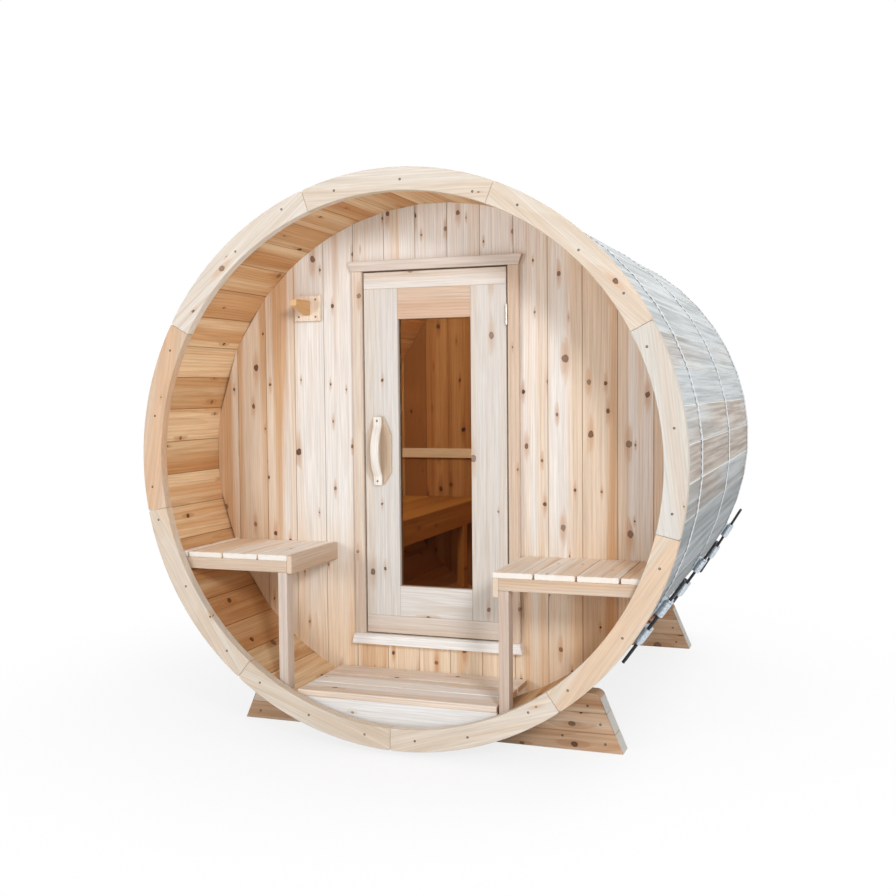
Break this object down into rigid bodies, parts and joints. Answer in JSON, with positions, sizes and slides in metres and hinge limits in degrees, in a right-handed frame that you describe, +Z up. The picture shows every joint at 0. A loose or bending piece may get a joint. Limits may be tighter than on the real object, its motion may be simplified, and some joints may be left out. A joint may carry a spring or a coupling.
{
  "type": "barrel sauna",
  "caption": "Coopered timber barrel sauna lying on two cradles, with an open porch, corner benches and a hinged door with a tall tinted pane.",
  "frame": {"origin": "on the ground, under the middle of the barrel", "axes": "+X to the right seen from the porch, +Y along the barrel's axis from the porch to the back, +Z up"},
  "size_m": [1.9799, 2.28, 2.0018],
  "materials": {
    "stave_wood": "weathered",
    "ring_wood": "sawn, oiled",
    "wall_boards": "planed",
    "band_steel": "bright",
    "zinc_plate": "zinc plated",
    "threaded_rod": "dark",
    "door_wood": "planed",
    "tinted_glass": "bronze tint",
    "handle_wood": "sanded",
    "bench_wood": "planed",
    "duckboard_wood": "planed",
    "hook_wood": "planed",
    "inner_wood": "planed",
    "cradle_wood": "sawn"
  },
  "bodies": {
    "shell": {"roof_staves": "stave_wood", "left_staves": "stave_wood", "floor_staves": "stave_wood", "right_staves": "stave_wood", "trim_ring": "ring_wood", "front_wall_left": "wall_boards", "front_wall_right": "wall_boards", "front_wall_over_door": "wall_boards", "front_wall_under_door": "wall_boards", "back_wall": "wall_boards", "band_front": "band_steel", "band_middle": "band_steel", "band_rear": "band_steel", "band_lugs": "zinc_plate", "hinge_frame_halves": "zinc_plate", "tension_rods": "threaded_rod", "door_casings": "door_wood", "door_head": "door_wood", "door_sill": "door_wood", "door_stops": "door_wood", "left_bench_slats": "bench_wood", "left_bench_cross_rails": "bench_wood", "left_bench_side_board": "bench_wood", "left_bench_leg": "bench_wood", "right_bench_slats": "bench_wood", "right_bench_cross_rails": "bench_wood", "right_bench_side_board": "bench_wood", "right_bench_leg": "bench_wood", "duckboard_boards": "duckboard_wood", "duckboard_battens": "duckboard_wood", "hook_plate": "hook_wood", "hook_arm": "hook_wood", "inner_bench_slats": "inner_wood", "inner_bench_rail": "inner_wood", "inner_bench_bearers": "inner_wood", "inner_bench_legs": "inner_wood", "back_rail": "inner_wood", "cradle_front": "cradle_wood", "cradle_rear": "cradle_wood"},
    "door": {"door_stiles": "door_wood", "door_outer_rails": "door_wood", "door_inner_rails": "door_wood", "door_glass": "tinted_glass", "handle_plate": "handle_wood", "handle_grip": "handle_wood", "hinge_door_halves": "zinc_plate"}
  },
  "joints": [
    {"name": "door_hinge", "type": "hinge", "parent": "shell", "child": "door", "pos_m": [0.284, -0.7353, 1.012], "axis": [0, 0, 1], "range_deg": [0, 90]}
  ]
}
